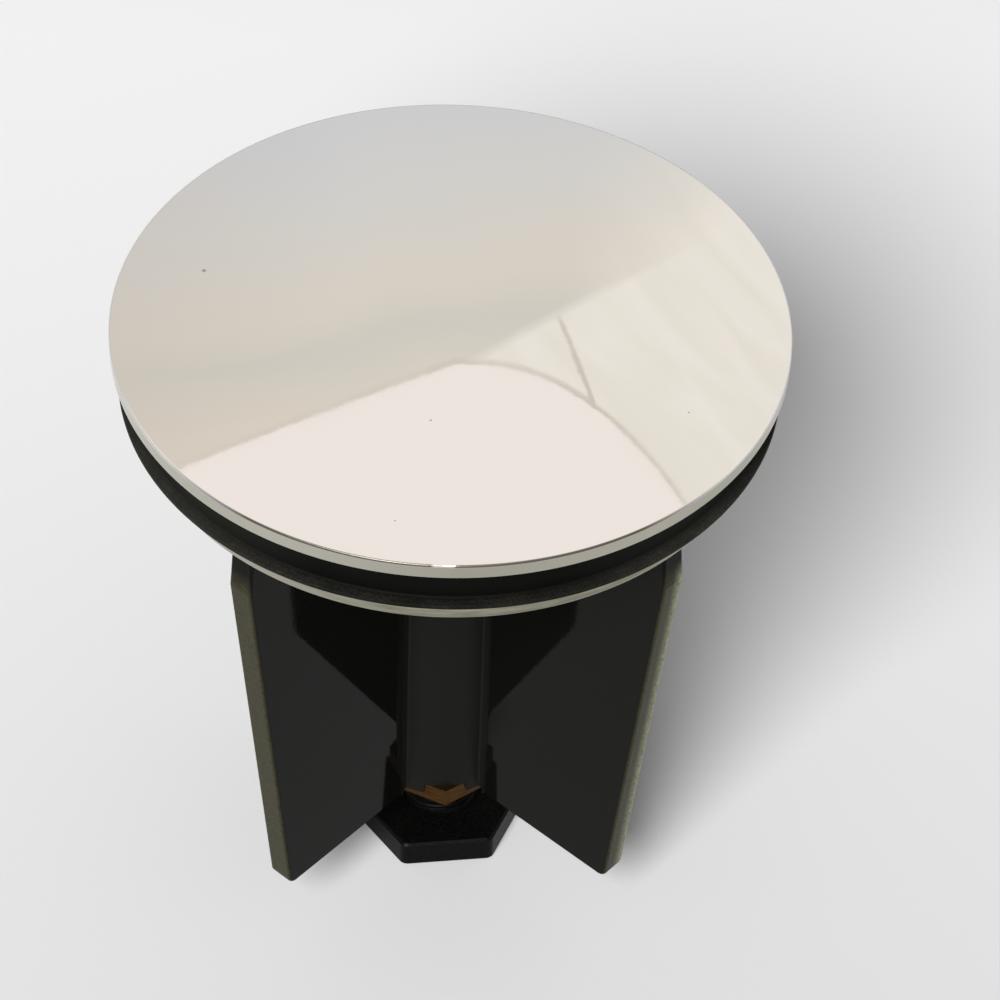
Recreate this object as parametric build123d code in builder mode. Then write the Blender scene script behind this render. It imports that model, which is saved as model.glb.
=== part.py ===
from build123d import *
import os

os.makedirs("parts", exist_ok=True)

# Basin drain stopper standing on its adjusting screw. Millimetres, +Z up its axis.
# The origin is the centre of the flat under the screw head. The guide wings lie along X and Y.

# Cover plate: thin polished disc with a boss under its middle
cover_radius = 20.0
cover_thickness = 1.0
cover_edge_bevel = 0.12
boss_radius = 7.0

# Cover stud: holds cover, seal, flange and guide together
stud_radius = 2.5
stud_depth_in_boss = 3.4
stud_reach_in_guide = 10.5
stud_thread_length = 9.0
stud_tip_bevel = 0.5

# Sealing ring: moulded rubber washer with one lip round its edge
seal_height = 3.8
seal_bore_clearance = 0.2
seal_neck_radius = 18.4
seal_neck_height = 0.25
seal_wall_radius = 19.0
seal_shoulder_height = 0.15
seal_lip_radius = 19.6
seal_lip_drop = 2.5
seal_lip_thickness = 0.25
seal_lip_slope = 0.15
seal_lip_round = 0.1
seal_skirt_height = 0.75
seal_foot_radius = 18.7

# Clamp flange: second disc, under the seal
flange_radius = 18.6
flange_thickness = 0.95
flange_edge_round = 0.3
flange_hole_clearance = 0.2

# Guide cross: central tube, hub under the flange and four wings, one moulding
guide_height = 32.05
tube_radius = 4.2
bore_radius = 2.8
hub_radius = 7.5
hub_height = 1.8
wing_count = 4
wing_thickness = 1.7
wing_top_radius = 17.5
wing_shoulder_radius = 17.85
wing_shoulder_drop = 3.6
wing_shoulder_round = 12.0
wing_bottom_radius = 14.85
wing_bottom_corner = 0.6
wing_edge_round = 0.2
wing_root_fillet = 0.15
tube_end_rise = 0.45

# Threaded inserts, pressed into both ends of the tube
insert_radius = 3.2
insert_bevel = 0.3
insert_groove_depth = 0.25
insert_groove_width = 0.8
top_insert_length = 8.0
bottom_insert_length = 9.0
collar_across_flats = 8.0
collar_height = 1.5
collar_proud = 0.3
collar_turn = 17.0
collar_bevel = 0.15
collar_gap = 0.12

# Threads: drawn as rings with crests and roots
thread_pitch = 0.8
thread_depth = 0.4
thread_crest = 0.16
thread_root = 0.14

# Adjusting screw: threaded shank with a moulded hexagon head
shank_radius = 2.45
shank_length = 20.4
shank_in_head = 1.4
shank_tip_bevel = 0.5
thread_clearance = 0.05
head_across_flats = 10.0
head_height = 2.0
head_turn = -11.3
head_corner_round = 0.6
head_edge_bevel = 0.15
socket_gap = 0.05
head_travel_up = 3.1

# One overrun for every cut that runs out through a face
overrun = 1.0

# Levels up the axis
head_top = head_height
collar_bottom = head_top + head_travel_up
guide_bottom = collar_bottom + collar_proud
tube_bottom = collar_bottom + collar_height
guide_top = guide_bottom + guide_height
flange_top = guide_top + flange_thickness
seal_top = flange_top + seal_height


def save(builder, name):
    """Label a finished piece and write it under its own name."""
    builder.part.label = name
    export_step(builder.part, f"parts/{name}.step")


def thread_rings(radius, start, length):
    """Rings to cut from a rod for its thread, from the level start up over length."""
    flank = (thread_pitch - thread_crest - thread_root) / 2
    inner = radius - thread_depth
    with BuildPart() as rings:
        with BuildSketch(Plane.XZ):
            for turn in range(int(length / thread_pitch)):
                low = start + turn * thread_pitch
                high = low + flank + thread_root + flank
                with BuildLine():
                    Polyline(
                        (radius, low),
                        (inner, low + flank),
                        (inner, low + flank + thread_root),
                        (radius, high),
                        (radius + overrun, high),
                        (radius + overrun, low),
                        close=True,
                    )
                make_face()
        revolve(axis=Axis.Z)
    return rings.part


def insert_body(base, length):
    """Plain brass sleeve for a threaded insert, with two grooves that grip the plastic."""
    with BuildPart() as body:
        with BuildSketch(Plane.XY.offset(base)):
            Circle(insert_radius)
        extrude(amount=length)
        chamfer(body.edges().filter_by(GeomType.CIRCLE), insert_bevel)
        for groove in (1, 2):
            middle = base + groove * length / 3
            with BuildSketch(Plane.XY.offset(middle - insert_groove_width / 2)):
                Circle(insert_radius + overrun)
                Circle(insert_radius - insert_groove_depth, mode=Mode.SUBTRACT)
            extrude(amount=insert_groove_width, mode=Mode.SUBTRACT)
    return body.part


# Cover plate, turned in one piece and chromed
with BuildPart() as cover_plate:
    with BuildSketch(Plane.XY.offset(seal_top)):
        Circle(cover_radius)
    extrude(amount=cover_thickness)
    chamfer(cover_plate.edges().filter_by(GeomType.CIRCLE), cover_edge_bevel)
    with BuildSketch(Plane.XY.offset(flange_top)):
        Circle(boss_radius)
    extrude(amount=seal_height)
    with BuildSketch(Plane.XY.offset(flange_top)):
        Circle(stud_radius)
    extrude(amount=stud_depth_in_boss, mode=Mode.SUBTRACT)
save(cover_plate, "cover_plate")

# Cover stud, fixed in the boss and threaded where it runs into the top insert
stud_bottom = guide_top - stud_reach_in_guide
stud_length = stud_reach_in_guide + flange_thickness + stud_depth_in_boss
stud_rings = thread_rings(stud_radius, stud_bottom + stud_tip_bevel, stud_thread_length)
with BuildPart() as cover_stud:
    with BuildSketch(Plane.XY.offset(stud_bottom)):
        Circle(stud_radius)
    extrude(amount=stud_length)
    chamfer(cover_stud.faces().sort_by(Axis.Z)[0].edges(), stud_tip_bevel)
    add(stud_rings, mode=Mode.SUBTRACT)
save(cover_stud, "cover_stud")

# Sealing ring: neck under the cover, plain wall, lip, and a skirt drawn in to the flange
seal_bore = boss_radius + seal_bore_clearance
seal_wall_top = seal_top - seal_neck_height - seal_shoulder_height
seal_lip_top = seal_top - seal_lip_drop
seal_lip_bottom = seal_lip_top - seal_lip_slope - seal_lip_thickness
with BuildPart() as sealing_ring:
    with BuildSketch(Plane.XZ) as seal_section:
        with BuildLine():
            Polyline(
                (seal_bore, flange_top),
                (seal_foot_radius, flange_top),
                (seal_foot_radius, seal_lip_bottom - seal_skirt_height),
                (seal_lip_radius, seal_lip_bottom),
                (seal_lip_radius, seal_lip_top - seal_lip_slope),
                (seal_wall_radius, seal_lip_top),
                (seal_wall_radius, seal_wall_top),
                (seal_neck_radius, seal_top - seal_neck_height),
                (seal_neck_radius, seal_top),
                (seal_bore, seal_top),
                close=True,
            )
        make_face()
        fillet(seal_section.vertices().sort_by(Axis.X)[-2:], seal_lip_round)
    revolve(axis=Axis.Z)
save(sealing_ring, "sealing_ring")

# Clamp flange, a plain disc with rounded edges
with BuildPart() as clamp_flange:
    with BuildSketch(Plane.XY.offset(guide_top)):
        Circle(flange_radius)
        Circle(stud_radius + flange_hole_clearance, mode=Mode.SUBTRACT)
    extrude(amount=flange_thickness)
    rims = clamp_flange.edges().filter_by(GeomType.CIRCLE)
    fillet(rims.group_by(SortBy.RADIUS)[-1], flange_edge_round)
save(clamp_flange, "clamp_flange")

# One wing of the guide: a tapered blade from the axis out, with its free edges rounded
wing_shoulder = guide_top - wing_shoulder_drop
with BuildPart() as wing:
    with BuildSketch(Plane.XZ) as blade:
        with BuildLine():
            Polyline(
                (0, guide_bottom),
                (wing_bottom_radius, guide_bottom),
                (wing_shoulder_radius, wing_shoulder),
                (wing_top_radius, guide_top),
                (0, guide_top),
                close=True,
            )
        make_face()
        outer = blade.vertices().filter_by(lambda v: v.X > tube_radius).sort_by(Axis.Y)
        fillet(outer[0], wing_bottom_corner)
        fillet(outer[1], wing_shoulder_round)
    extrude(amount=wing_thickness / 2, both=True)
    side_edges = wing.faces().filter_by(Axis.Y).edges()
    outer_edges = side_edges.filter_by(lambda e: (e @ 0.5).X > tube_radius)
    free_edges = outer_edges.filter_by(lambda e: (e @ 0.5).Z < guide_top - wing_edge_round)
    fillet(free_edges, wing_edge_round)

# Guide cross: tube, hub and wings in one moulding, bored for the stud, the inserts and the screw
root_reach = tube_radius + 2 * wing_root_fillet
notch_height = tube_bottom - guide_bottom
with BuildPart() as guide_cross:
    with BuildSketch(Plane.XY.offset(guide_bottom)) as core:
        Circle(tube_radius)
        with PolarLocations(0, wing_count):
            Rectangle(root_reach, wing_thickness, align=(Align.MIN, Align.CENTER))
        roots = core.vertices().group_by(SortBy.DISTANCE)[0]
        fillet(roots, wing_root_fillet)
    extrude(amount=guide_height)
    with PolarLocations(0, wing_count):
        add(wing.part)
    with BuildSketch(Plane.XY.offset(guide_top - hub_height)):
        Circle(hub_radius)
    extrude(amount=hub_height)
    with BuildSketch(Plane.XY.offset(guide_bottom - overrun)):
        Circle(bore_radius)
    extrude(amount=guide_height + 2 * overrun, mode=Mode.SUBTRACT)
    with BuildSketch(Plane.XY.offset(guide_top - top_insert_length)):
        Circle(insert_radius)
    extrude(amount=top_insert_length + overrun, mode=Mode.SUBTRACT)
    with BuildSketch(Plane.XY.offset(guide_bottom - overrun)):
        Circle(insert_radius)
    extrude(amount=overrun + notch_height + bottom_insert_length, mode=Mode.SUBTRACT)
    with BuildSketch(Plane.XY.offset(guide_bottom - overrun)):
        Circle(root_reach)
    extrude(amount=overrun + tube_end_rise, mode=Mode.SUBTRACT)
    with BuildSketch(Plane.XY.offset(guide_bottom - overrun)):
        notch_flat = collar_across_flats / 2 + collar_gap
        RegularPolygon(notch_flat, 6, major_radius=False, rotation=collar_turn)
    extrude(amount=overrun + notch_height, mode=Mode.SUBTRACT)
save(guide_cross, "guide_cross")

# Top insert, which takes the stud
top_body = insert_body(guide_top - top_insert_length, top_insert_length)
with BuildPart() as top_insert:
    add(top_body)
    with BuildSketch(Plane.XY.offset(guide_top - top_insert_length - overrun)):
        Circle(stud_radius + thread_clearance)
    extrude(amount=top_insert_length + 2 * overrun, mode=Mode.SUBTRACT)
save(top_insert, "top_insert")

# Bottom insert, with a hexagon collar against the tube's end
bottom_body = insert_body(tube_bottom, bottom_insert_length)
with BuildPart() as bottom_insert:
    with BuildSketch(Plane.XY.offset(collar_bottom)):
        RegularPolygon(collar_across_flats / 2, 6, major_radius=False, rotation=collar_turn)
    extrude(amount=collar_height)
    chamfer(bottom_insert.faces().sort_by(Axis.Z)[0].edges(), collar_bevel)
    add(bottom_body)
    with BuildSketch(Plane.XY.offset(collar_bottom - overrun)):
        Circle(shank_radius + thread_clearance)
    extrude(amount=collar_height + bottom_insert_length + 2 * overrun, mode=Mode.SUBTRACT)
save(bottom_insert, "bottom_insert")

# Screw shank, from inside the head up into the bottom insert
shank_bottom = head_top - shank_in_head
shank_rings = thread_rings(shank_radius, head_top, shank_length - shank_in_head - shank_tip_bevel)
with BuildPart() as screw_shank:
    with BuildSketch(Plane.XY.offset(shank_bottom)):
        Circle(shank_radius)
    extrude(amount=shank_length)
    chamfer(screw_shank.faces().sort_by(Axis.Z)[-1].edges(), shank_tip_bevel)
    add(shank_rings, mode=Mode.SUBTRACT)
save(screw_shank, "screw_shank")

# Screw head: thin moulded hexagon, flat underneath where the lever pushes it
with BuildPart() as screw_head:
    with BuildSketch(Plane.XY):
        RegularPolygon(head_across_flats / 2, 6, major_radius=False, rotation=head_turn)
    extrude(amount=head_height)
    fillet(screw_head.edges().filter_by(Axis.Z), head_corner_round)
    flats = screw_head.faces().filter_by(Axis.Z)
    chamfer(flats.edges(), head_edge_bevel)
    with BuildSketch(Plane.XY.offset(shank_bottom - socket_gap)):
        Circle(shank_radius + thread_clearance)
    extrude(amount=shank_in_head + socket_gap + overrun, mode=Mode.SUBTRACT)
save(screw_head, "screw_head")
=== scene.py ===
from math import cos, pi, radians, sin, tan

import bmesh
import bpy
import numpy as np
from mathutils import Matrix, Vector


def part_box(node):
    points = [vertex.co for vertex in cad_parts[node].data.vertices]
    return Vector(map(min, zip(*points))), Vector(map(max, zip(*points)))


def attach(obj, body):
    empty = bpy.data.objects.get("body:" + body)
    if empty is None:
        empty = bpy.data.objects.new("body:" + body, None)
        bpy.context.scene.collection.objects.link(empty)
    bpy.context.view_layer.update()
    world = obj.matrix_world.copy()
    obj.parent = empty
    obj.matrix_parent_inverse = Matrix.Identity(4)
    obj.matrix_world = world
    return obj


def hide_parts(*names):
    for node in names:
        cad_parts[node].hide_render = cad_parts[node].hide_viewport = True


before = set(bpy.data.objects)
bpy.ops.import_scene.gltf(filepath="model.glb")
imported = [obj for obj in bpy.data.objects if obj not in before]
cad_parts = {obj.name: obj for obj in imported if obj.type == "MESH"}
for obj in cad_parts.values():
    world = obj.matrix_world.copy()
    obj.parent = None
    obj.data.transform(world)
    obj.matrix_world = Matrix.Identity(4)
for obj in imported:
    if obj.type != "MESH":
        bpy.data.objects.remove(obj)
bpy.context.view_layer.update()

# Cover plate
# The disc that shows in the basin: a thin plate with a boss under its middle, turned from
# brass, polished flat on top and plated with nickel and chromium.

mm = 0.001
cover_low, cover_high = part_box("cover_plate")
cover_radius = cover_high.x
cover_top = cover_high.z
cover_thickness = 1.0 * mm
cover_edge_round = 0.11 * mm
cover_under_round = 0.08 * mm
boss_radius = 7.0 * mm
stud_hole_radius = 2.5 * mm
stud_hole_depth = 3.4 * mm
turned_sides = 720
shading_hold = 0.03 * mm
weld_distance = 0.0001 * mm
level_normal = 0.99999


def outline(corners, steps=5):
    """Points of a closed outline through corners (radius, height, round). A corner with a round
    is cut back by round / tan(half its angle) and bridged by an arc about the centre that lies
    on the bisector; every straight run keeps a point close to each of its ends, so that smooth
    shading stays level between them."""
    points = []
    for i, (x, y, size) in enumerate(corners):
        here = np.array((x, y))
        back = np.array(corners[i - 1][:2]) - here
        on = np.array(corners[(i + 1) % len(corners)][:2]) - here
        back /= np.linalg.norm(back)
        on /= np.linalg.norm(on)
        if size:
            half = np.arccos(np.clip(back @ on, -1, 1)) / 2
            reach = size / tan(half)
            centre = here + (back + on) / np.linalg.norm(back + on) * size / sin(half)
            first = here + back * reach - centre
            last = here + on * reach - centre
            share = np.linspace(0, 1, steps + 1)[:, None]
            sweep = pi - 2 * half
            arc = (np.sin((1 - share) * sweep) * first + np.sin(share * sweep) * last) / sin(sweep)
            points += [here + back * (reach + shading_hold), *(centre + arc)]
            points += [here + on * (reach + shading_hold)]
        else:
            points += [here + back * shading_hold, here, here + on * shading_hold]
    return np.clip(np.array(points), [0, -np.inf], np.inf)


def finished(name, points, faces):
    """A piece at the origin from an array of points and one of faces. Points that coincide, as at
    a pole or a seam, are welded, faces turned outwards, and all but level ones shaded smooth."""
    mesh = bpy.data.meshes.new(name)
    mesh.from_pydata(points.reshape(-1, 3), [], faces.reshape(-1, faces.shape[-1]).tolist())
    shape = bmesh.new()
    shape.from_mesh(mesh)
    bmesh.ops.remove_doubles(shape, verts=shape.verts, dist=weld_distance)
    bmesh.ops.dissolve_degenerate(shape, edges=shape.edges, dist=weld_distance)
    bmesh.ops.recalc_face_normals(shape, faces=shape.faces)
    shape.to_mesh(mesh)
    shape.free()
    mesh.polygons.foreach_set("use_smooth", [abs(face.normal.z) < level_normal for face in mesh.polygons])
    piece = bpy.data.objects.new(name, mesh)
    bpy.context.collection.objects.link(piece)
    return piece


def grid_faces(rows, columns):
    """Four-sided faces between the points of a rows by columns grid that closes both ways."""
    row, column = np.meshgrid(np.arange(rows), np.arange(columns), indexing="ij")
    next_row, next_column = (row + 1) % rows, (column + 1) % columns
    at = [row * columns + column, row * columns + next_column]
    at += [next_row * columns + next_column, next_row * columns + column]
    return np.stack(at, axis=-1)


def turned(name, section, dent=None):
    """Surface of revolution: the point (r, z) of the section goes to (r cos a, r sin a, z) at
    every one of the equal steps of a. A dent may move the points, given (a, r, z) arrays."""
    a = np.arange(turned_sides) * 2 * pi / turned_sides
    r, a = np.meshgrid(section[:, 0], a, indexing="ij")
    z = np.repeat(section[:, 1:], turned_sides, axis=1)
    if dent:
        r, z = dent(a, r, z)
    points = np.stack([r * np.cos(a), r * np.sin(a), z], axis=-1)
    return finished(name, points, grid_faces(len(section), turned_sides))


def seated(piece, body, slot, finish, *nodes):
    """Gives a piece its finish and its body, and lets it stand for its CAD nodes. The slot is not used."""
    piece.data.materials.clear()
    piece.data.materials.append(finish)
    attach(piece, body)
    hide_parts(*nodes)


nick_turn = radians(-48.7)
nick_width = 0.8 * mm
nick_depth = 0.05 * mm


def nick(a, r, z):
    """A knock on the rim: near one angle the top corner sinks in by a smooth bump's share."""
    away = (np.mod(a - nick_turn + pi, 2 * pi) - pi) * cover_radius
    share = np.clip(1 - (away / nick_width) ** 2, 0, 1) ** 2
    corner = np.clip((r - cover_radius + 2 * cover_edge_round) / cover_edge_round, 0, 1)
    upper = np.clip((z - cover_top + 3 * cover_edge_round) / cover_edge_round, 0, 1)
    return r - share * corner * upper * nick_depth, z - share * corner * upper * nick_depth


# The second corner adds a ring inside the rim, which keeps the knock's tilt off the flat mirror.
cover_section = outline([
    (0, cover_top, 0),
    (cover_radius - 4 * cover_edge_round, cover_top, 0),
    (cover_radius, cover_top, cover_edge_round),
    (cover_radius, cover_top - cover_thickness, cover_under_round),
    (boss_radius, cover_top - cover_thickness, 0),
    (boss_radius, cover_low.z, cover_under_round),
    (stud_hole_radius, cover_low.z, 0),
    (stud_hole_radius, cover_low.z + stud_hole_depth, 0),
    (0, cover_low.z + stud_hole_depth, 0),
])


def colour(code):
    """Linear colour of an sRGB hex code: ((c + 0.055) / 1.055) ** 2.4, or c / 12.92 if dark."""
    parts = [int(code[i:i + 2], 16) / 255 for i in (1, 3, 5)]
    return [((c + 0.055) / 1.055) ** 2.4 if c > 0.04045 else c / 12.92 for c in parts] + [1]


def fill(socket, value):
    """Gives a socket a value, or links it to an output or to the first open output of a node."""
    if isinstance(value, bpy.types.Node):
        value = next(output for output in value.outputs if output.enabled)
    if isinstance(value, bpy.types.NodeSocket):
        socket.id_data.links.new(value, socket)
    else:
        socket.default_value = value


def put(tree, kind, *inputs, **choices):
    """Adds one node. A capitalised choice fills the socket of that name, stops are the places and
    hex codes of a colour ramp, any other choice is a setting of the node, and inputs fill its open
    sockets in order."""
    node = tree.nodes.new("ShaderNode" + kind)
    for key, value in choices.items():
        if key == "stops":
            points = node.color_ramp.elements
            while len(points) < len(value):
                points.new(0.5)
            for point, (place, code) in zip(points, value):
                point.position = place
                point.color = colour(code)
        elif key[0].islower():
            setattr(node, key, value)
        else:
            fill(node.inputs[key.replace("_", " ")], value)
    for socket, value in zip([socket for socket in node.inputs if socket.enabled], inputs):
        fill(socket, value)
    return node


def finish_named(name, **sockets):
    """A new material with a Principled shader whose own sockets are set, its tree and shader."""
    made = bpy.data.materials.new(name)
    made.use_nodes = True
    shader = made.node_tree.nodes["Principled BSDF"]
    for key, value in sockets.items():
        fill(shader.inputs[key.replace("_", " ")], value)
    return made, made.node_tree, shader


def places(tree):
    """The object coordinates, and the distance from the axis and the height that they give."""
    spot = put(tree, "TexCoord").outputs["Object"]
    flat = put(tree, "VectorMath", spot, (1, 1, 0), operation="MULTIPLY")
    radius = put(tree, "VectorMath", flat, operation="LENGTH")
    height = put(tree, "SeparateXYZ", spot).outputs["Z"]
    return spot, radius, height


def along(tree, spot, turn):
    """How far a point lies in the level direction that is turned from the x axis by turn."""
    return put(tree, "VectorMath", spot, (cos(turn), sin(turn), 0), operation="DOT_PRODUCT")


# Polished chromium plate: a bright neutral mirror. Fine wiping hairlines dull it a little in
# patches, and a few specks of dirt lie on it. The turned rim is duller, and its slightly warm
# tones, darker than the top and going lighter and darker across the view, are a painted
# reflection of the floor. Its top corner is painted dark at the front as shade, and painted light
# at the knock as a highlight. Rim tones go by mm along rim_direction, and each speck has its x, y
# and size in mm. A span holds the values of a noise at which what it draws sets in and is full.
chrome_top = colour("#DFDEDC")
# Painted reflection: the rim's tones, darker than the top, by mm across the view.
rim_reflection_tones = [(-10, "#BFBDB0"), (1, "#A9A79A"), (12, "#B9B7A9"), (19, "#A3A195")]
rim_direction = radians(41.6)
# Painted shade for the rim's top corner at the front.
corner_painted_shade = colour("#5E5C54")
# Painted highlight on the corner at the knock.
knock_painted_highlight = colour("#CFCEC8")
chrome_dirt = colour("#8F8A84")
front_shade_full_to = 11 * mm
front_shade_gone_from = 16 * mm
knock_core = 0.6 * nick_width
knock_reach = 0.9 * nick_width
haze_scale = 1 / (6.0 * mm)
haze_span = (0.35, 0.7)
hairline_scale = 1 / (0.35 * mm)
hairline_span = (0.5, 0.75)
hairline_turn = radians(35)
hairline_stretch = 12
polish_wave = 0.02 * mm
polish_relief = 0.05
polish_roughness = (0.008, 0.018)
hairline_dulling = 0.012
rim_dulling = 0.12
corner_dulling = 0.3
specks = [(-13.57, -6.85, 0.17), (4.83, -6.98, 0.10), (15.10, 3.71, 0.08), (8.87, -14.29, 0.08)]
speck_core = 0.4
speck_cover = 0.8

mirror_chrome, tree, shader = finish_named("polished chromium plate", Metallic=1.0)
spot, radius, height = places(tree)
across = along(tree, spot, rim_direction)
rim = put(tree, "MapRange", height, cover_top - 2 * cover_edge_round, cover_top - cover_edge_round, 1, 0)
not_rim = put(tree, "Math", 1.0, rim, operation="SUBTRACT")
outer = put(tree, "MapRange", radius, cover_radius - cover_edge_round, cover_radius - 0.5 * cover_edge_round)
corner = put(tree, "Math", outer, not_rim, operation="MULTIPLY")
aside = put(tree, "Math", across, operation="ABSOLUTE")
# The corner's painted shade is full at the front and gone towards the sides of the view.
front_shade = put(tree, "MapRange", aside, front_shade_full_to, front_shade_gone_from, 1, 0)
shaded_corner = put(tree, "Math", corner, front_shade, operation="MULTIPLY")
dirt = 0.0
for x, y, size in specks:
    away = put(tree, "VectorMath", spot, (x * mm, y * mm, cover_top), operation="DISTANCE")
    speck = put(tree, "MapRange", away, speck_core * size * mm, size * mm, 1, 0)
    dirt = put(tree, "Math", speck, dirt, operation="MAXIMUM")
dirt = put(tree, "Math", dirt, speck_cover, operation="MULTIPLY")
tone = put(tree, "Mix", dirt, chrome_top, chrome_dirt, data_type="RGBA")
# The corner's painted highlight round the knock.
knock_place = (cover_radius * cos(nick_turn), cover_radius * sin(nick_turn), cover_top)
from_knock = put(tree, "VectorMath", spot, knock_place, operation="DISTANCE")
knock_highlight = put(tree, "MapRange", from_knock, knock_core, knock_reach, 1, 0)
corner_tone = put(tree, "Mix", knock_highlight, corner_painted_shade, knock_painted_highlight, data_type="RGBA")
tone = put(tree, "Mix", shaded_corner, tone, corner_tone, data_type="RGBA")
# The rim's painted reflection goes by place across the view.
spread = put(tree, "MapRange", across, -cover_radius, cover_radius)
stops = [(0.5 + 0.5 * place * mm / cover_radius, code) for place, code in rim_reflection_tones]
rim_reflection = put(tree, "ValToRGB", spread, stops=stops)
fill(shader.inputs["Base Color"], put(tree, "Mix", rim, tone, rim_reflection, data_type="RGBA"))
haze = put(tree, "TexNoise", spot, Scale=haze_scale, Detail=4.0)
combed = put(tree, "Mapping", spot, Rotation=(0, 0, hairline_turn), Scale=(1, hairline_stretch, 1))
hairs = put(tree, "TexNoise", combed, Scale=hairline_scale, Detail=3.0)
gloss = put(tree, "MapRange", haze, *haze_span, *polish_roughness)
hairlines = put(tree, "MapRange", hairs, *hairline_span)
for place, dulling in ((hairlines, hairline_dulling), (rim, rim_dulling), (corner, corner_dulling)):
    gloss = put(tree, "Math", place, dulling, gloss, operation="MULTIPLY_ADD")
fill(shader.inputs["Roughness"], gloss)
fill(shader.inputs["Normal"], put(tree, "Bump", Strength=polish_relief, Distance=polish_wave, Height=haze))

cover = turned("cover_plate_polished", cover_section, nick)
seated(cover, "stopper", "chrome_plate", mirror_chrome, "cover_plate")

# Cover stud
# A short steel stud screwed into the boss; it holds the whole stack together from inside and
# is zinc plated, so it is a dull bluish grey.

zinc_tones = [(0.3, "#85878A"), (0.7, "#9A9C9E")]
zinc_roughness = (0.28, 0.42)
zinc_bloom_scale = 1 / (0.5 * mm)
noise_span = (0.3, 0.7)


def dressed(finish, *nodes):
    """Gives CAD nodes a finish; their meshes stay as they are."""
    for name in nodes:
        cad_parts[name].data.materials.clear()
        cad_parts[name].data.materials.append(finish)


# Zinc plate: a dull metal whose bloom varies a little in tone and gloss. As in other finishes,
# the gloss follows noise_span, the stretch that holds nearly all the values of a noise.
zinc_plate, tree, shader = finish_named("zinc plated steel", Metallic=1.0)
spot = put(tree, "TexCoord").outputs["Object"]
bloom = put(tree, "TexNoise", spot, Scale=zinc_bloom_scale, Detail=3.0)
fill(shader.inputs["Base Color"], put(tree, "ValToRGB", bloom, stops=zinc_tones))
fill(shader.inputs["Roughness"], put(tree, "MapRange", bloom, *noise_span, *zinc_roughness))
dressed(zinc_plate, "cover_stud")

# Sealing ring
# Moulded black nitrile rubber, clamped between cover and flange: a plain wall with a thin lip
# round its edge that closes the drain, satin, and dusty where the lip has been touched.

seal_low, seal_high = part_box("sealing_ring")
seal_lip_radius = seal_high.x
seal_neck_radius = 18.4 * mm
seal_neck_height = 0.25 * mm
seal_wall_radius = 19.0 * mm
seal_shoulder = 0.15 * mm
seal_lip_drop = 2.5 * mm
seal_lip_slope = 0.15 * mm
seal_lip_thickness = 0.25 * mm
seal_skirt_height = 0.75 * mm
seal_foot_radius = 18.7 * mm
seal_bore_clearance = 0.2 * mm
seal_bore_radius = boss_radius + seal_bore_clearance
seal_round = 0.08 * mm
lip_top = seal_high.z - seal_lip_drop
lip_bottom = lip_top - seal_lip_slope - seal_lip_thickness

seal_section = outline([
    (seal_bore_radius, seal_high.z, 0),
    (seal_neck_radius, seal_high.z, 0),
    (seal_neck_radius, seal_high.z - seal_neck_height, seal_round),
    (seal_wall_radius, seal_high.z - seal_neck_height - seal_shoulder, 2 * seal_round),
    (seal_wall_radius, lip_top, 2 * seal_round),
    (seal_lip_radius, lip_top - seal_lip_slope, seal_round),
    (seal_lip_radius, lip_bottom, seal_round),
    (seal_foot_radius, lip_bottom - seal_skirt_height, seal_round),
    (seal_foot_radius, seal_low.z, seal_round),
    (seal_bore_radius, seal_low.z, 0),
])

# Nitrile rubber: nearly black and satin, with a fine moulded grain, painted a little greyer at the
# sides across the view as a sheen. Pale dust lies in patches on the lip, with more of its pale
# tone towards the sides of the view as painted sheen, and stray motes of it elsewhere.
rubber_black = colour("#0A0A09")
# Painted sheen: the rubber greyer towards the sides of the view.
rubber_sheen_grey = colour("#1E1E1B")
rubber_dust_and_sheen = colour("#55534A")
rubber_roughness = (0.5, 0.9)
rubber_grain_scale = 1 / (0.09 * mm)
rubber_grain_depth = 0.02 * mm
rubber_relief = 0.35
side_sheen_from, side_sheen_to = 7 * mm, 15 * mm
dust_edge = 0.3 * mm
dust_height_shares = (0.35, 1.0)
dust_patch_scale = 1 / (1.6 * mm)
dust_patch_span, dust_patch_shares = (0.35, 0.65), (0.5, 1.0)
# Real dust, with more of its pale tone towards the sides of the view as painted sheen.
dust_sheen_from, dust_sheen_to = 2 * mm, 14 * mm
dust_and_sheen_side_shares = (0.3, 0.5)
mote_scale = 1 / (0.12 * mm)
mote_harshness = 0.7
mote_span, mote_shares = (0.42, 0.62), (0.15, 0.6)
stray_span = (0.68, 0.74)
stray_share = 0.25
matt_dust_share = 0.5

seal_rubber, tree, shader = finish_named("moulded nitrile rubber", IOR=1.5, Specular_IOR_Level=0.03)
spot, radius, height = places(tree)
aside = put(tree, "Math", along(tree, spot, rim_direction), operation="ABSOLUTE")
grain = put(tree, "TexNoise", spot, Scale=rubber_grain_scale, Detail=2.0)
patches = put(tree, "TexNoise", spot, Scale=dust_patch_scale, Detail=3.0)
motes = put(tree, "TexNoise", spot, Scale=mote_scale, Detail=3.0, Roughness=mote_harshness)
dust_and_sheen = put(tree, "MapRange", radius, seal_wall_radius, seal_wall_radius + dust_edge)
for place, limits, shares in (
    (height, (lip_bottom - seal_skirt_height, lip_top), dust_height_shares),
    (patches, dust_patch_span, dust_patch_shares),
    (aside, (dust_sheen_from, dust_sheen_to), dust_and_sheen_side_shares),
    (motes, mote_span, mote_shares),
):
    share = put(tree, "MapRange", place, *limits, *shares)
    dust_and_sheen = put(tree, "Math", dust_and_sheen, share, operation="MULTIPLY")
stray = put(tree, "MapRange", motes, *stray_span, 0, stray_share)
strewn = put(tree, "Math", dust_and_sheen, stray, operation="MAXIMUM")
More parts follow.
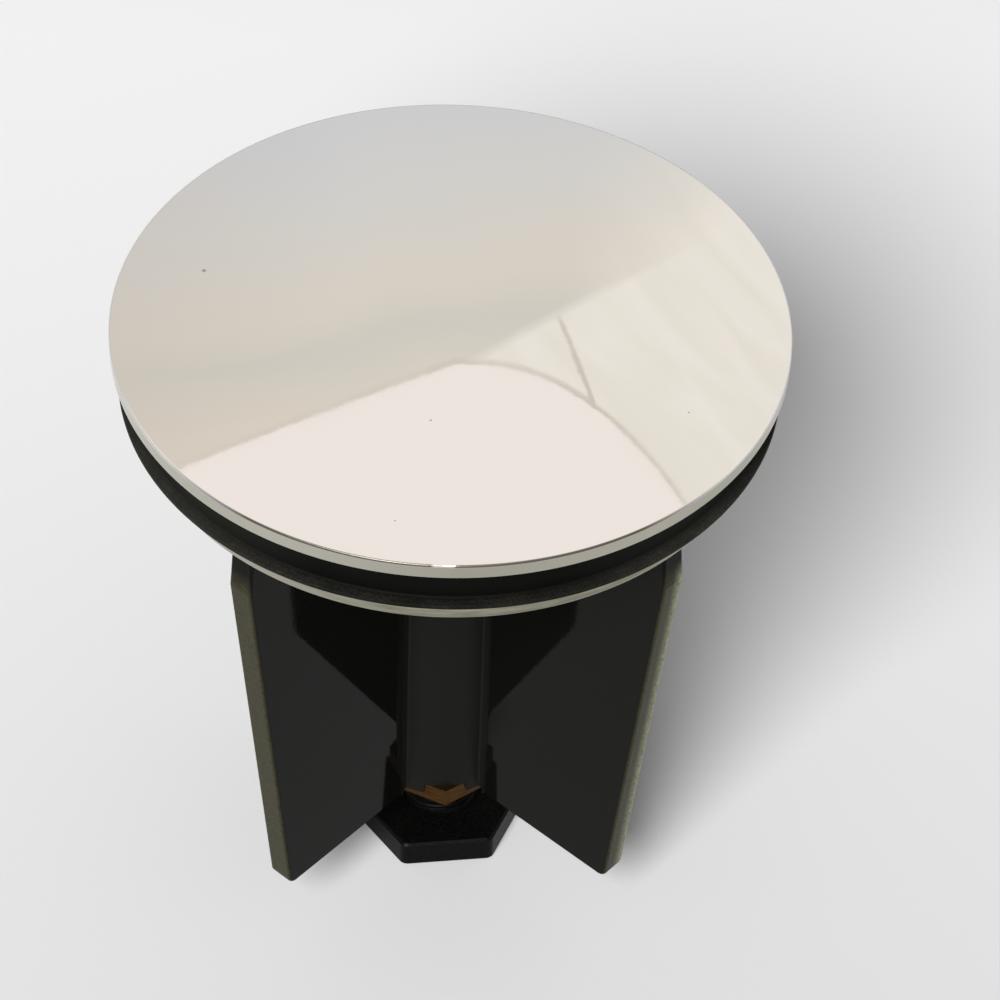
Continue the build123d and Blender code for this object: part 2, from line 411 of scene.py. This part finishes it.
# Painted sheen, greyer towards the sides across the view.
side_sheen = put(tree, "MapRange", aside, side_sheen_from, side_sheen_to)
tone = put(tree, "Mix", side_sheen, rubber_black, rubber_sheen_grey, data_type="RGBA")
fill(shader.inputs["Base Color"], put(tree, "Mix", strewn, tone, rubber_dust_and_sheen, data_type="RGBA"))
fill(shader.inputs["Roughness"], put(tree, "MapRange", dust_and_sheen, 0, matt_dust_share, *rubber_roughness))
relief = put(tree, "Math", grain, motes, operation="ADD")
relief = put(tree, "Bump", Strength=rubber_relief, Distance=rubber_grain_depth, Height=relief)
fill(shader.inputs["Normal"], relief)

seal = turned("sealing_ring_rubber", seal_section)
seated(seal, "stopper", "seal_rubber", seal_rubber, "sealing_ring")

# Clamp flange
# A second, slightly smaller metal disc, chromium plated. The stud clamps it on the hub of the
# guide, where it presses the rubber up against the cover.

flange_low, flange_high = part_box("clamp_flange")
flange_radius = flange_high.x
flange_round = 0.28 * mm
flange_hole_clearance = 0.2 * mm
flange_hole_radius = stud_hole_radius + flange_hole_clearance

flange_section = outline([
    (flange_hole_radius, flange_high.z, 0),
    (flange_radius, flange_high.z, flange_round),
    (flange_radius, flange_low.z, flange_round),
    (flange_hole_radius, flange_low.z, 0),
], steps=8)

# Bright chromium plate, painted darker than the cover's plate as the shade under the cover, with
# duller water lines round the edge; its left side across the view is painted lighter as a reflection.
# The flange's tones are painted darker than the cover's plate, as the shade under the cover.
flange_shaded_tones = [(0.35, "#828070"), (0.6, "#9A9886")]
# Painted reflection: the flange lighter towards the left of the view.
flange_reflection_tone = colour("#AFADA0")
flange_roughness = (0.26, 0.14)
flange_patch_scale = 1 / (2.5 * mm)
flange_line_stretch = 10
flange_reflection_starts, flange_reflection_full = -3 * mm, -11 * mm

flange_chrome, tree, shader = finish_named("bright chromium plate", Metallic=1.0)
spot = put(tree, "TexCoord").outputs["Object"]
lengthwise = put(tree, "Mapping", spot, Scale=(1, 1, flange_line_stretch))
lines = put(tree, "TexNoise", lengthwise, Scale=flange_patch_scale, Detail=5.0)
tone = put(tree, "ValToRGB", lines, stops=flange_shaded_tones)
left_reflection = put(tree, "MapRange", along(tree, spot, rim_direction), flange_reflection_starts, flange_reflection_full)
fill(shader.inputs["Base Color"], put(tree, "Mix", left_reflection, tone, flange_reflection_tone, data_type="RGBA"))
fill(shader.inputs["Roughness"], put(tree, "MapRange", lines, *noise_span, *flange_roughness))

flange = turned("clamp_flange_plated", flange_section)
seated(flange, "stopper", "chrome_flange", flange_chrome, "clamp_flange")

# Guide cross
# One glossy black ABS moulding: a central tube with a hub under the flange and four tapered
# wings that keep the stopper upright in the drain. It is clamped up under the flange by the stud.

guide_low, guide_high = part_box("guide_cross")
wing_reach = guide_high.x
wing_bottom_reach = 14.85 * mm
wing_shoulder_drop = 3.6 * mm
wing_shoulder_height = guide_high.z - wing_shoulder_drop
wing_draft_out = tan(radians(2.3))
wing_draft_down = tan(radians(2.0))
tube_edge = 4.55 * mm
tube_blend = 0.3 * mm
wing_blend = 0.5 * mm

# Moulded ABS: black and glossy, with faint flow marks and a fine texture. The tube is a little
# greyer and more matt. The wing edges are painted lighter, unevenly, as a reflection, most of all
# the back edge of one front wing, which carries a pale painted highlight.
# The wing faces are flat in the mesh; their mould draft, out and down, is added to the shading.
abs_black = colour("#0D0D0B")
abs_tube = colour("#151512")
# Painted reflection: the wing edges lighter, unevenly.
abs_edge_sheen = colour("#3A3825")
# Painted highlight on the back edge of one front wing.
abs_edge_highlight = colour("#A3A584")
abs_flow_scale = 1 / (5.0 * mm)
abs_texture_scale = 1 / (0.25 * mm)
abs_texture_depth = 0.01 * mm
abs_relief = 0.12
abs_roughness = (0.035, 0.06)
edge_sheen_width = 0.14 * mm
edge_sheen_span, edge_sheen_shares = (0.35, 0.65), (0.6, 1.0)
edge_dulling = 0.35
tube_dulling = 0.26
highlight_x = (3 * mm, 4 * mm)
highlight_y = (-0.2 * mm, 0.7 * mm)
highlight_contrast = 1.5

guide_abs, tree, shader = finish_named("moulded gloss ABS", IOR=1.5, Specular_IOR_Level=0.048)
spot, radius, height = places(tree)
flow = put(tree, "TexNoise", spot, Scale=abs_flow_scale, Detail=3.0)
texture = put(tree, "TexNoise", spot, Scale=abs_texture_scale, Detail=4.0)
edge = put(tree, "MapRange", height, guide_low.z, wing_shoulder_height, wing_bottom_reach, wing_reach)
inside = put(tree, "Math", edge, radius, operation="SUBTRACT")
# The wing edges' painted reflection, uneven along them.
edge_sheen = put(tree, "MapRange", inside, edge_sheen_width, 0.0)
uneven = put(tree, "MapRange", texture, *edge_sheen_span, *edge_sheen_shares)
edge_sheen = put(tree, "Math", edge_sheen, uneven, operation="MULTIPLY")
apart = put(tree, "SeparateXYZ", spot)
# Painted highlight along the back edge of the +X wing.
edge_highlight = edge_sheen
for axis, limits in (("X", highlight_x), ("Y", highlight_y)):
    share = put(tree, "MapRange", apart.outputs[axis], *limits)
    edge_highlight = put(tree, "Math", edge_highlight, share, operation="MULTIPLY")
edge_highlight = put(tree, "Math", edge_highlight, highlight_contrast, operation="POWER")
off_tube = put(tree, "MapRange", radius, tube_edge, tube_edge + tube_blend)
tone = put(tree, "Mix", off_tube, abs_tube, abs_black, data_type="RGBA")
tone = put(tree, "Mix", edge_sheen, tone, abs_edge_sheen, data_type="RGBA")
fill(shader.inputs["Base Color"], put(tree, "Mix", edge_highlight, tone, abs_edge_highlight, data_type="RGBA"))
on_tube = put(tree, "Math", 1.0, off_tube, operation="SUBTRACT")
gloss = put(tree, "MapRange", flow, *noise_span, *abs_roughness)
for place, dulling in ((edge_sheen, edge_dulling), (on_tube, tube_dulling)):
    gloss = put(tree, "Math", place, dulling, gloss, operation="MULTIPLY_ADD")
fill(shader.inputs["Roughness"], gloss)
lean = put(tree, "VectorMath", spot, (1, 1, 0), operation="MULTIPLY")
lean = put(tree, "VectorMath", lean, operation="NORMALIZE")
lean = put(tree, "VectorMath", lean, wing_draft_out, operation="SCALE")
lean = put(tree, "VectorMath", lean, (0, 0, -wing_draft_down), operation="ADD")
on_wing = put(tree, "MapRange", radius, tube_edge, tube_edge + wing_blend)
lean = put(tree, "VectorMath", lean, on_wing, operation="SCALE")
face = put(tree, "NewGeometry").outputs["Normal"]
face = put(tree, "VectorMath", face, lean, operation="ADD")
face = put(tree, "VectorMath", face, operation="NORMALIZE")
relief = put(tree, "Bump", Strength=abs_relief, Distance=abs_texture_depth, Height=texture, Normal=face)
fill(shader.inputs["Normal"], relief)
dressed(guide_abs, "guide_cross")

# Threaded inserts
# Two turned brass sleeves pressed into the ends of the tube: the top one takes the stud, and
# the bottom one, with a hexagon collar that shows at the tube's end, takes the screw.

# Turned brass, painted dark brown as the shade it sits in, and rather dull, with the fine rings of
# the lathe round it.
brass_shaded_tones = [(0.3, "#402C14"), (0.65, "#583B18")]
brass_roughness = (0.62, 0.45)
brass_relief = 0.3
brass_turning_scale = 1 / (0.12 * mm)
brass_turning_depth = 0.01 * mm
brass_turning_stretch = 0.15

insert_brass, tree, shader = finish_named("turned brass", Metallic=1.0)
spot = put(tree, "TexCoord").outputs["Object"]
rings = put(tree, "Mapping", spot, Scale=(brass_turning_stretch, brass_turning_stretch, 1))
marks = put(tree, "TexNoise", rings, Scale=brass_turning_scale, Detail=3.0)
relief = put(tree, "Bump", Strength=brass_relief, Distance=brass_turning_depth, Height=marks)
fill(shader.inputs["Base Color"], put(tree, "ValToRGB", marks, stops=brass_shaded_tones))
fill(shader.inputs["Roughness"], put(tree, "MapRange", marks, *noise_span, *brass_roughness))
fill(shader.inputs["Normal"], relief)
dressed(insert_brass, "top_insert", "bottom_insert")

# Adjusting screw
# One black nylon moulding, a threaded shank with a thin hexagon head on its end; turning it
# sets how far the lever has to lift the stopper.

shank_low, shank_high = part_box("screw_shank")
shank_radius = shank_high.x
thread_pitch = 0.8 * mm
thread_depth = 0.4 * mm
thread_crest_share = 0.2
thread_root_share = 0.175
tip_bevel = 0.5 * mm
thread_rows = 20
thread_sides = 90


def screw_thread(name):
    """Rod whose radius follows its thread: at turn a and height z the phase is the part after
    the point of z / pitch - a / full turn, and the radius is the outer one over the crest share,
    the inner one over the root share, and straight flanks between, eased by a smooth step."""
    length = shank_high.z - shank_low.z
    rows = int(length / thread_pitch * thread_rows)
    z, a = np.meshgrid(np.linspace(shank_low.z, shank_high.z, rows),
                       np.arange(thread_sides) * 2 * pi / thread_sides, indexing="ij")
    phase = np.mod((z - shank_low.z) / thread_pitch - a / (2 * pi), 1)
    flank = (1 - thread_crest_share - thread_root_share) / 2
    from_crest = np.abs(phase - 0.5) - thread_crest_share / 2
    share = np.clip(from_crest / flank, 0, 1)
    share = share * share * (3 - 2 * share)
    r = shank_radius - thread_depth * share
    r = np.minimum(r, shank_radius - tip_bevel + (shank_high.z - z))
    points = np.stack([r * np.cos(a), r * np.sin(a), z], axis=-1)
    ends = np.zeros((1, thread_sides, 3))
    low, high = ends + [0, 0, shank_low.z], ends + [0, 0, shank_high.z]
    points = np.concatenate([low, points, high])
    return finished(name, points, grid_faces(rows + 2, thread_sides))


# Moulded nylon: black with a satin gloss, worn slightly grey in small spots.
nylon_black = colour("#060606")
nylon_scuffed = colour("#1D1C19")
nylon_scale = 1 / (0.18 * mm)
nylon_texture_depth = 0.01 * mm
nylon_relief = 0.2
nylon_roughness = (0.3, 0.42)
nylon_wear_span = (0.45, 0.7)
nylon_wear_share = 0.35

screw_nylon, tree, shader = finish_named("moulded black nylon", IOR=1.5, Specular_IOR_Level=0.05)
spot = put(tree, "TexCoord").outputs["Object"]
texture = put(tree, "TexNoise", spot, Scale=nylon_scale, Detail=4.0)
worn = put(tree, "MapRange", texture, *nylon_wear_span, 0, nylon_wear_share)
fill(shader.inputs["Base Color"], put(tree, "Mix", worn, nylon_black, nylon_scuffed, data_type="RGBA"))
fill(shader.inputs["Roughness"], put(tree, "MapRange", texture, *noise_span, *nylon_roughness))
relief = put(tree, "Bump", Strength=nylon_relief, Distance=nylon_texture_depth, Height=texture)
fill(shader.inputs["Normal"], relief)
dressed(screw_nylon, "screw_head")

shank = screw_thread("screw_shank_thread")
seated(shank, "shank", "screw_nylon", screw_nylon, "screw_shank")

# Studio
# A pale floor, painted lighter far off and darker near the front as the lamp's falloff, under one
# soft lamp from the front left, in a pale room that the polished cover mirrors: cool and dim low
# down, in faint warm bands higher up, and white above them.

camera_turn = radians(-48.433)
camera_height = radians(42.33)
camera_distance = 235.9 * mm
camera_aim_right = 3.262 * mm
camera_aim_down = 14.667 * mm
camera_roll = radians(2.209)
camera_focal_pixels = 4023.6
picture_pixels = 1000
sensor_width = 36.0

toward_camera = Vector((cos(camera_turn), sin(camera_turn), 0))
picture_right = Vector((-sin(camera_turn), cos(camera_turn), 0))
up = Vector((0, 0, 1))
cover_centre = Vector((0, 0, cover_top))

camera_data = bpy.data.cameras.new("camera")
camera_data.sensor_width = sensor_width
camera_data.lens = camera_focal_pixels / picture_pixels * sensor_width
camera = bpy.data.objects.new("camera", camera_data)
bpy.context.collection.objects.link(camera)
bpy.context.scene.camera = camera
camera_place = cover_centre + camera_distance * (cos(camera_height) * toward_camera + sin(camera_height) * up)
aim = cover_centre + camera_aim_right * picture_right - camera_aim_down * up
forward = (aim - camera_place).normalized()
level_right = forward.cross(up).normalized()
level_up = level_right.cross(forward)
right = cos(camera_roll) * level_right + sin(camera_roll) * level_up
top = -sin(camera_roll) * level_right + cos(camera_roll) * level_up
turn = Matrix((right, top, -forward)).transposed().to_4x4()
camera.matrix_world = Matrix.Translation(camera_place) @ turn

floor_radius = 4.0
floor_sides = 96
paper_far, paper_near = -80 * mm, 20 * mm
a = np.arange(floor_sides) * 2 * pi / floor_sides
rim_points = np.stack([floor_radius * np.cos(a), floor_radius * np.sin(a), 0 * a], axis=-1)
floor_mesh = bpy.data.meshes.new("floor")
floor_mesh.from_pydata(rim_points, [], [list(range(floor_sides))])
floor = bpy.data.objects.new("floor", floor_mesh)
bpy.context.collection.objects.link(floor)
# Painted falloff: the paper lighter far off and darker near the front.
paper_falloff_tones = [(0.0, "#F6F6F6"), (0.5, "#E9E9E9"), (0.8, "#E1E1E1"), (1.0, "#DADADA")]
paper, tree, shader = finish_named("matt paper", Roughness=0.9, Specular_IOR_Level=0.1)
spot = put(tree, "TexCoord").outputs["Object"]
nearer = put(tree, "MapRange", along(tree, spot, camera_turn), paper_far, paper_near)
fill(shader.inputs["Base Color"], put(tree, "ValToRGB", nearer, stops=paper_falloff_tones))
floor_mesh.materials.append(paper)

lamp_left, lamp_front, lamp_up = 0.18, 0.53, 0.54
lamp_size = 0.32
lamp_power = 6.6
lamp_data = bpy.data.lights.new("key lamp", "AREA")
lamp_data.shape = "DISK"
lamp_data.size = lamp_size
lamp_data.energy = lamp_power
lamp = bpy.data.objects.new("key lamp", lamp_data)
bpy.context.collection.objects.link(lamp)
lamp.location = lamp_front * toward_camera - lamp_left * picture_right + lamp_up * up
lamp.rotation_euler = (-lamp.location).to_track_quat("-Z", "Y").to_euler()

# The room that the cover mirrors is drawn by angle, in degrees: side is to the right of straight
# ahead, and rise is above the horizon. Its colours are written as the mirror shows them.
room_diffuse = 0.35
mirror_share = 0.74
degree = 180 / pi
room_bands = [(39.3, "#CBCCD1"), (40.4, "#D1D0CD"), (41.6, "#D8D0C6"), (42.2, "#CECBC3"), (43.4, "#DCD2C6")]
room_low, room_high = 36.0, 46.0
band_tilt = 0.12
band_sway = 0.35
sway_scale = 14.0
dim_side, dim_far_side, dim_share = -2.0, -7.0, 0.5
dim_tone = colour("#C6BEB4")
white_area = colour("#EDE5E0")
white_peak = 42.95
white_highest = 45.6
white_left, white_left_slope = 0.1, 0.27
white_right, white_right_bend = 0.6, 0.105
white_softness = 0.01
cream_area = colour("#E9E4DC")
cream_shade = colour("#E3DED5")
cream_slope = 0.46
cream_parts = [((0.0, 0.5), (43.0, 43.2)), ((2.2, 5.0), (40.3, 43.1))]
cream_turn = radians(33)
crease_length, crease_width = 2.6, 0.5
crease_wander = 0.6
crease_span = (0.36, 0.66)
line_tone = colour("#C2BAAD")
line_share = 0.8
fold_side, fold_rise, fold_slope = 2.09, 42.23, 0.62
fold_core, fold_reach = 0.03, 0.07
fold_fades_in = (42.15, 42.3)
seam_drop = 0.04
seam_core, seam_reach = 0.015, 0.075
seam_faint_side, seam_full_side, seam_faint_share = -1.2, 3.0, 0.35

world = bpy.data.worlds.new("studio")
bpy.context.scene.world = world
world.use_nodes = True
tree = world.node_tree
tree.nodes.clear()
way = put(tree, "TexCoord").outputs["Generated"]
across = put(tree, "VectorMath", way, picture_right, operation="DOT_PRODUCT")
ahead = put(tree, "VectorMath", way, -toward_camera, operation="DOT_PRODUCT")
side = put(tree, "Math", across, ahead, operation="ARCTAN2")
side = put(tree, "Math", side, degree, operation="MULTIPLY")
rise = put(tree, "Math", put(tree, "SeparateXYZ", way).outputs["Z"], operation="ARCSINE")
rise = put(tree, "Math", rise, degree, operation="MULTIPLY")

ripple = put(tree, "TexNoise", way, Scale=sway_scale, Detail=2.0)
sway = put(tree, "MapRange", ripple, *noise_span, -band_sway, band_sway)
level = put(tree, "Math", side, band_tilt, rise, operation="MULTIPLY_ADD")
level = put(tree, "Math", level, sway, operation="ADD")
level = put(tree, "MapRange", level, room_low, room_high)
stops = [((place - room_low) / (room_high - room_low), code) for place, code in room_bands]
shown = put(tree, "ValToRGB", level, stops=stops)
dim = put(tree, "MapRange", side, dim_side, dim_far_side, 0, dim_share)
shown = put(tree, "Mix", dim, shown, dim_tone, data_type="RGBA")

slant = put(tree, "Math", side, cream_slope, rise, operation="MULTIPLY_ADD")
cream = 0.0
for side_limits, slant_limits in cream_parts:
    beside = put(tree, "MapRange", side, *side_limits)
    over = put(tree, "MapRange", slant, *slant_limits)
    part = put(tree, "Math", beside, over, operation="MULTIPLY")
    cream = put(tree, "Math", part, cream, operation="MAXIMUM")
angles = put(tree, "CombineXYZ", side, rise)
crease_size = (crease_length, crease_width, 1)
creased = put(tree, "Mapping", angles, vector_type="TEXTURE", Rotation=(0, 0, cream_turn), Scale=crease_size)
creases = put(tree, "TexNoise", creased, Scale=1.0, Detail=4.0, Distortion=crease_wander)
smooth = put(tree, "MapRange", creases, *crease_span)
cream_tone = put(tree, "Mix", smooth, cream_shade, cream_area, data_type="RGBA")
shown = put(tree, "Mix", cream, shown, cream_tone, data_type="RGBA")

left_start = white_left_slope * white_left
left_edge = put(tree, "Math", side, -white_left_slope, left_start, operation="MULTIPLY_ADD")
bow = put(tree, "Math", side, white_right, operation="SUBTRACT")
bow = put(tree, "Math", bow, 0.0, operation="MAXIMUM")
bow = put(tree, "Math", bow, 2.0, operation="POWER")
right_edge = put(tree, "Math", bow, white_right_bend, operation="MULTIPLY")
edge = put(tree, "Math", left_edge, right_edge, operation="MAXIMUM")
edge = put(tree, "Math", edge, white_peak, operation="ADD")
edge = put(tree, "Math", edge, white_highest, operation="MINIMUM")
above = put(tree, "Math", rise, edge, operation="SUBTRACT")

fold_start = fold_side - fold_slope * fold_rise
fold_line = put(tree, "Math", rise, fold_slope, fold_start, operation="MULTIPLY_ADD")
from_fold = put(tree, "Math", side, fold_line, operation="SUBTRACT")
from_fold = put(tree, "Math", from_fold, operation="ABSOLUTE")
fold = put(tree, "MapRange", from_fold, fold_core, fold_reach, 1, 0)
fold = put(tree, "Math", fold, put(tree, "MapRange", rise, *fold_fades_in), operation="MULTIPLY")
from_seam = put(tree, "Math", above, seam_drop, operation="ADD")
from_seam = put(tree, "Math", from_seam, operation="ABSOLUTE")
seam = put(tree, "MapRange", from_seam, seam_core, seam_reach, 1, 0)
plainer = put(tree, "MapRange", side, seam_faint_side, seam_full_side, seam_faint_share, 1.0)
seam = put(tree, "Math", seam, plainer, operation="MULTIPLY")
lines = put(tree, "Math", fold, seam, operation="MAXIMUM")
lines = put(tree, "Math", lines, line_share, operation="MULTIPLY")
shown = put(tree, "Mix", lines, shown, line_tone, data_type="RGBA")
white = put(tree, "MapRange", above, -white_softness, white_softness)
shown = put(tree, "Mix", white, shown, white_area, data_type="RGBA")

bright = put(tree, "Background", shown, 1 / mirror_share)
plain = put(tree, "Background", colour("#FFFFFF"), room_diffuse)
ray = put(tree, "LightPath").outputs
seen = put(tree, "Math", ray["Is Camera Ray"], ray["Is Glossy Ray"], operation="MAXIMUM")
seen = put(tree, "Math", seen, ray["Is Transmission Ray"], operation="MAXIMUM")
put(tree, "OutputWorld", put(tree, "MixShader", seen, plain, bright))

bpy.context.scene.view_settings.view_transform = "Standard"
